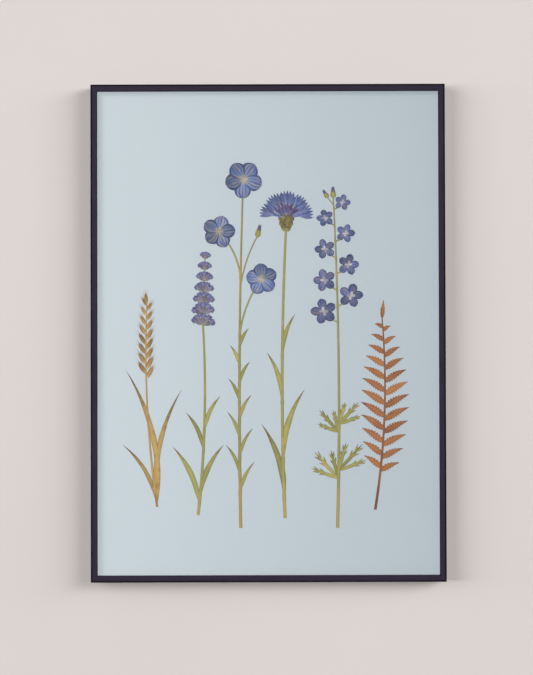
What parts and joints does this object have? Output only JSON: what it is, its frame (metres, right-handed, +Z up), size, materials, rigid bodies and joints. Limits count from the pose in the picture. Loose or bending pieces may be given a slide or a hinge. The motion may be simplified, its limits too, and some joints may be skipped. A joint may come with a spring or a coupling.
{
  "type": "framed pressed-flower picture",
  "caption": "Pressed-flower picture for the wall: dried flowers, grass and fern on pale blue paper behind glass, in a slim black frame, with swivel clips and hanging rings at the back.",
  "frame": {"origin": "middle of the back plane, where the picture meets the wall", "axes": "+X right as seen from the room, +Z up, +Y into the wall; the picture faces -Y"},
  "size_m": [0.432, 0.025, 0.606],
  "materials": {
    "frame_paint": "satin black paint with a faint violet cast",
    "glass": "clear float glass",
    "spacer_card": "matte black card",
    "mount_paper": "matte pale grey-blue paper",
    "board": "raw hardboard, smooth brown",
    "clip_brass": "stamped, dull brass plate",
    "steel": "zinc plated",
    "blue_petals": "dried petals, violet-blue with tan veins, thin and matte",
    "dried_stem": "dried stems and leaves, olive green, matte",
    "rust_frond": "dried frond, rust orange, matte",
    "dry_grass": "dry grass, ochre brown, matte"
  },
  "bodies": {
    "picture": {"rail_bottom": "frame_paint", "rail_left": "frame_paint", "rail_top": "frame_paint", "rail_right": "frame_paint", "corner_nail_1": "steel", "corner_nail_2": "steel", "corner_nail_3": "steel", "corner_nail_4": "steel", "glass": "glass", "spacer_bottom": "spacer_card", "spacer_top": "spacer_card", "spacer_left": "spacer_card", "spacer_right": "spacer_card", "mount_sheet": "mount_paper", "backing_board": "board", "clip_screw_1": "clip_brass", "clip_screw_2": "clip_brass", "clip_screw_3": "clip_brass", "clip_screw_4": "clip_brass", "clip_screw_5": "clip_brass", "clip_screw_6": "clip_brass", "hanger_plate_1": "steel", "hanger_plate_2": "steel", "hanger_screw_1": "steel", "hanger_screw_2": "steel", "lavender_stem": "dried_stem", "lavender_spike": "blue_petals", "flax_stem": "dried_stem", "flax_flower_1": "blue_petals", "flax_flower_2": "blue_petals", "flax_flower_3": "blue_petals", "cornflower_stem": "dried_stem", "cornflower_bloom": "blue_petals", "larkspur_stem": "dried_stem", "larkspur_flower_1": "blue_petals", "larkspur_flower_2": "blue_petals", "larkspur_flower_3": "blue_petals", "larkspur_flower_4": "blue_petals", "larkspur_flower_5": "blue_petals", "larkspur_flower_6": "blue_petals", "larkspur_flower_7": "blue_petals", "larkspur_flower_8": "blue_petals", "fern_frond": "rust_frond", "grass_tuft": "dry_grass"},
    "left_low_clip": {"clip_1": "clip_brass"},
    "left_high_clip": {"clip_2": "clip_brass"},
    "right_low_clip": {"clip_3": "clip_brass"},
    "right_high_clip": {"clip_4": "clip_brass"},
    "top_clip": {"clip_5": "clip_brass"},
    "bottom_clip": {"clip_6": "clip_brass"},
    "left_ring": {"hanger_ring_1": "steel"},
    "right_ring": {"hanger_ring_2": "steel"}
  },
  "joints": [
    {"name": "left_low_swivel", "type": "hinge", "parent": "picture", "child": "left_low_clip", "pos_m": [-0.1992, -0.00925, -0.15], "axis": [0, 1, 0], "range_deg": [-90, 90]},
    {"name": "left_high_swivel", "type": "hinge", "parent": "picture", "child": "left_high_clip", "pos_m": [-0.1992, -0.00925, 0.15], "axis": [0, 1, 0], "range_deg": [-90, 90]},
    {"name": "right_low_swivel", "type": "hinge", "parent": "picture", "child": "right_low_clip", "pos_m": [0.1992, -0.00925, -0.15], "axis": [0, 1, 0], "range_deg": [-90, 90]},
    {"name": "right_high_swivel", "type": "hinge", "parent": "picture", "child": "right_high_clip", "pos_m": [0.1992, -0.00925, 0.15], "axis": [0, 1, 0], "range_deg": [-90, 90]},
    {"name": "top_swivel", "type": "hinge", "parent": "picture", "child": "top_clip", "pos_m": [0, -0.00925, 0.2862], "axis": [0, 1, 0], "range_deg": [-90, 90]},
    {"name": "bottom_swivel", "type": "hinge", "parent": "picture", "child": "bottom_clip", "pos_m": [0, -0.00925, -0.2862], "axis": [0, 1, 0], "range_deg": [-90, 90]},
    {"name": "left_ring_swing", "type": "hinge", "parent": "picture", "child": "left_ring", "pos_m": [-0.14, -0.0076, 0.2], "axis": [1, 0, 0], "range_deg": [0, 180]},
    {"name": "right_ring_swing", "type": "hinge", "parent": "picture", "child": "right_ring", "pos_m": [0.14, -0.0076, 0.2], "axis": [1, 0, 0], "range_deg": [0, 180]}
  ]
}
